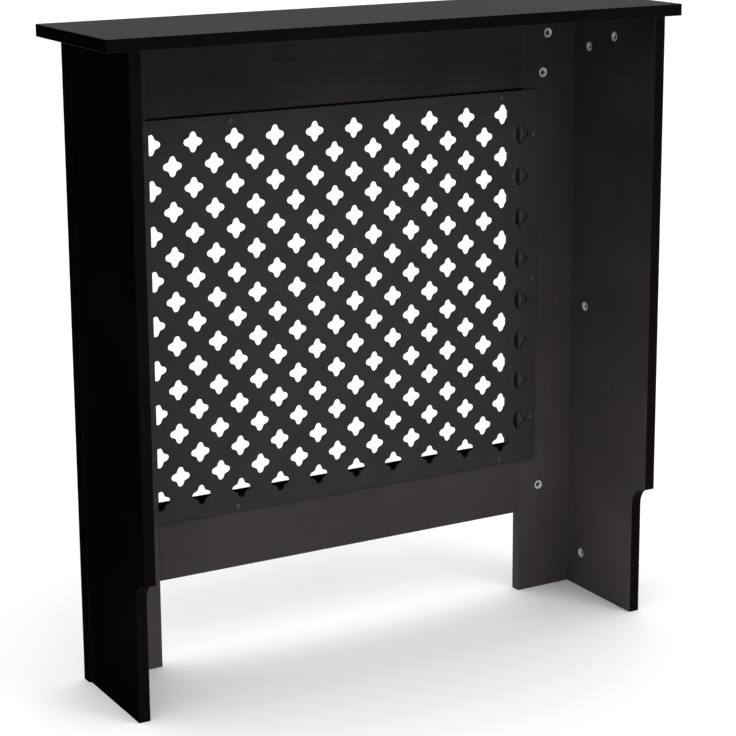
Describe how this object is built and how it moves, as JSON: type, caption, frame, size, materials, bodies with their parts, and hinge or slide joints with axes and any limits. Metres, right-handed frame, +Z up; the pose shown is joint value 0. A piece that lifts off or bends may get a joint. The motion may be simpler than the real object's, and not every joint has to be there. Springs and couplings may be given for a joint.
{
  "type": "radiator cover cabinet",
  "caption": "Open-backed radiator cover with a shelf top, notched side panels, a stile-and-rail front and a pierced quatrefoil grille, joined by turning cam locks.",
  "frame": {"origin": "on the floor, under the middle of the shelf", "axes": "+X towards the right as seen from the front, +Y towards the wall (open back), +Z up; the front faces -Y"},
  "size_m": [0.79, 0.21, 0.82],
  "materials": {
    "shelf_foil": "fine-textured black foil over MDF, satin",
    "board_foil": "smooth black foil over MDF, satin",
    "grille_foil": "black painted thin hardboard, satin",
    "cam_zinc": "die-cast zinc, dull",
    "bolt_steel": "zinc-plated steel",
    "screw_black": "black oxide steel",
    "dowel_beech": "bare fluted beech"
  },
  "bodies": {
    "carcass": {"shelf": "shelf_foil", "left_side_panel": "board_foil", "right_side_panel": "board_foil", "left_stile": "board_foil", "right_stile": "board_foil", "top_rail": "board_foil", "bottom_rail": "board_foil", "grille": "grille_foil", "left_moulding": "board_foil", "right_moulding": "board_foil", "top_moulding": "board_foil", "bottom_moulding": "board_foil", "left_bottom_rail_bolt": "bolt_steel", "left_top_rail_bolt": "bolt_steel", "left_side_lower_bolt": "bolt_steel", "left_side_middle_bolt": "bolt_steel", "left_side_upper_bolt": "bolt_steel", "left_stile_shelf_bolt": "bolt_steel", "left_side_shelf_bolt": "bolt_steel", "right_bottom_rail_bolt": "bolt_steel", "right_top_rail_bolt": "bolt_steel", "right_side_lower_bolt": "bolt_steel", "right_side_middle_bolt": "bolt_steel", "right_side_upper_bolt": "bolt_steel", "right_stile_shelf_bolt": "bolt_steel", "right_side_shelf_bolt": "bolt_steel", "left_bottom_rail_dowel": "dowel_beech", "left_top_rail_dowel": "dowel_beech", "left_side_lower_dowel": "dowel_beech", "left_side_upper_dowel": "dowel_beech", "left_side_shelf_dowel": "dowel_beech", "right_bottom_rail_dowel": "dowel_beech", "right_top_rail_dowel": "dowel_beech", "right_side_lower_dowel": "dowel_beech", "right_side_upper_dowel": "dowel_beech", "right_side_shelf_dowel": "dowel_beech", "grille_screw_left_upper": "screw_black", "grille_screw_left_middle": "screw_black", "grille_screw_left_lower": "screw_black", "grille_screw_right_upper": "screw_black", "grille_screw_right_middle": "screw_black", "grille_screw_right_lower": "screw_black", "grille_screw_top_left": "screw_black", "grille_screw_top_right": "screw_black", "grille_screw_bottom_left": "screw_black", "grille_screw_bottom_right": "screw_black"},
    "left_bottom_rail_cam": {"left_bottom_rail_cam": "cam_zinc"},
    "left_top_rail_cam": {"left_top_rail_cam": "cam_zinc"},
    "left_side_lower_cam": {"left_side_lower_cam": "cam_zinc"},
    "left_side_middle_cam": {"left_side_middle_cam": "cam_zinc"},
    "left_side_upper_cam": {"left_side_upper_cam": "cam_zinc"},
    "left_stile_shelf_cam": {"left_stile_shelf_cam": "cam_zinc"},
    "left_side_shelf_cam": {"left_side_shelf_cam": "cam_zinc"},
    "right_bottom_rail_cam": {"right_bottom_rail_cam": "cam_zinc"},
    "right_top_rail_cam": {"right_top_rail_cam": "cam_zinc"},
    "right_side_lower_cam": {"right_side_lower_cam": "cam_zinc"},
    "right_side_middle_cam": {"right_side_middle_cam": "cam_zinc"},
    "right_side_upper_cam": {"right_side_upper_cam": "cam_zinc"},
    "right_stile_shelf_cam": {"right_stile_shelf_cam": "cam_zinc"},
    "right_side_shelf_cam": {"right_side_shelf_cam": "cam_zinc"}
  },
  "joints": [
    {"name": "left_bottom_rail_cam_turn", "type": "hinge", "parent": "carcass", "child": "left_bottom_rail_cam", "pos_m": [-0.303, -0.07, 0.149], "axis": [0, 1, 0], "range_deg": [0, 180]},
    {"name": "left_top_rail_cam_turn", "type": "hinge", "parent": "carcass", "child": "left_top_rail_cam", "pos_m": [-0.303, -0.07, 0.721], "axis": [0, 1, 0], "range_deg": [0, 180]},
    {"name": "left_side_lower_cam_turn", "type": "hinge", "parent": "carcass", "child": "left_side_lower_cam", "pos_m": [-0.354, -0.038, 0.05], "axis": [1, 0, 0], "range_deg": [0, 180]},
    {"name": "left_side_middle_cam_turn", "type": "hinge", "parent": "carcass", "child": "left_side_middle_cam", "pos_m": [-0.354, -0.038, 0.4025], "axis": [1, 0, 0], "range_deg": [0, 180]},
    {"name": "left_side_upper_cam_turn", "type": "hinge", "parent": "carcass", "child": "left_side_upper_cam", "pos_m": [-0.354, -0.038, 0.755], "axis": [1, 0, 0], "range_deg": [0, 180]},
    {"name": "left_stile_shelf_cam_turn", "type": "hinge", "parent": "carcass", "child": "left_stile_shelf_cam", "pos_m": [-0.31, -0.07, 0.773], "axis": [0, 1, 0], "range_deg": [0, 180]},
    {"name": "left_side_shelf_cam_turn", "type": "hinge", "parent": "carcass", "child": "left_side_shelf_cam", "pos_m": [-0.354, 0.0175, 0.773], "axis": [1, 0, 0], "range_deg": [0, 180]},
    {"name": "right_bottom_rail_cam_turn", "type": "hinge", "parent": "carcass", "child": "right_bottom_rail_cam", "pos_m": [0.303, -0.07, 0.149], "axis": [0, 1, 0], "range_deg": [0, 180]},
    {"name": "right_top_rail_cam_turn", "type": "hinge", "parent": "carcass", "child": "right_top_rail_cam", "pos_m": [0.303, -0.07, 0.721], "axis": [0, 1, 0], "range_deg": [0, 180]},
    {"name": "right_side_lower_cam_turn", "type": "hinge", "parent": "carcass", "child": "right_side_lower_cam", "pos_m": [0.354, -0.038, 0.05], "axis": [-1, 0, 0], "range_deg": [0, 180]},
    {"name": "right_side_middle_cam_turn", "type": "hinge", "parent": "carcass", "child": "right_side_middle_cam", "pos_m": [0.354, -0.038, 0.4025], "axis": [-1, 0, 0], "range_deg": [0, 180]},
    {"name": "right_side_upper_cam_turn", "type": "hinge", "parent": "carcass", "child": "right_side_upper_cam", "pos_m": [0.354, -0.038, 0.755], "axis": [-1, 0, 0], "range_deg": [0, 180]},
    {"name": "right_stile_shelf_cam_turn", "type": "hinge", "parent": "carcass", "child": "right_stile_shelf_cam", "pos_m": [0.31, -0.07, 0.773], "axis": [0, 1, 0], "range_deg": [0, 180]},
    {"name": "right_side_shelf_cam_turn", "type": "hinge", "parent": "carcass", "child": "right_side_shelf_cam", "pos_m": [0.354, 0.0175, 0.773], "axis": [-1, 0, 0], "range_deg": [0, 180]}
  ]
}
